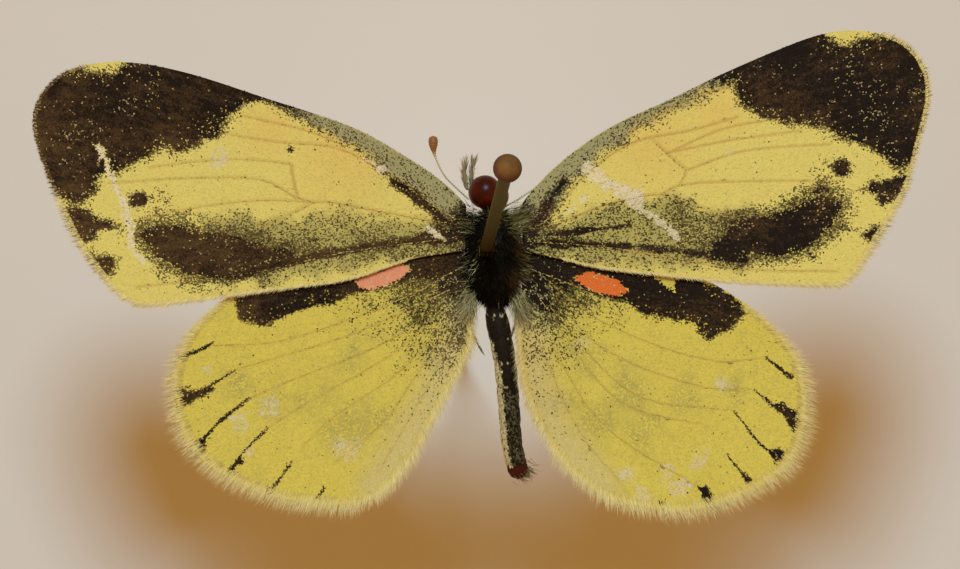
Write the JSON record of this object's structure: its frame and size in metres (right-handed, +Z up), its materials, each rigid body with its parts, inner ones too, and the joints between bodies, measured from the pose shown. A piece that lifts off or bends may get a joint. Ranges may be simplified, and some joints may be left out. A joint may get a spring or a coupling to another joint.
{
  "type": "pinned butterfly specimen",
  "caption": "Small yellow butterfly with black-edged wings, spread flat and pinned through the thorax as a dry museum specimen.",
  "frame": {"origin": "on the pin's axis, at the surface of the board that the pin is pushed into", "axes": "+Z up along the pin, +Y from the abdomen to the head, +X towards the insect's right wings"},
  "size_m": [0.0292, 0.0159, 0.038],
  "materials": {
    "wing": "matt scales, yellow with a black border",
    "body_fur": "short dark hair",
    "abdomen": "matt, dark above and pale on the side",
    "eye": "glossy deep red-brown",
    "antenna": "satin brown",
    "palp": "scaly tufts",
    "leg": "satin straw brown",
    "pin": "lacquered dark bronze",
    "pin_head": "glossy golden brown"
  },
  "bodies": {
    "root": {"pin": "pin", "pin_head": "pin_head", "thorax": "body_fur", "abdomen": "abdomen", "head": "body_fur", "eye_left": "eye", "eye_right": "eye", "palp_left": "palp", "palp_right": "palp", "proboscis": "antenna", "antenna_left": "antenna", "antenna_right": "antenna", "forewing_left": "wing", "forewing_right": "wing", "hindwing_left": "wing", "hindwing_right": "wing", "leg_fore_left": "leg", "leg_fore_right": "leg", "leg_mid_left": "leg", "leg_mid_right": "leg", "leg_hind_left": "leg", "leg_hind_right": "leg"}
  },
  "joints": []
}
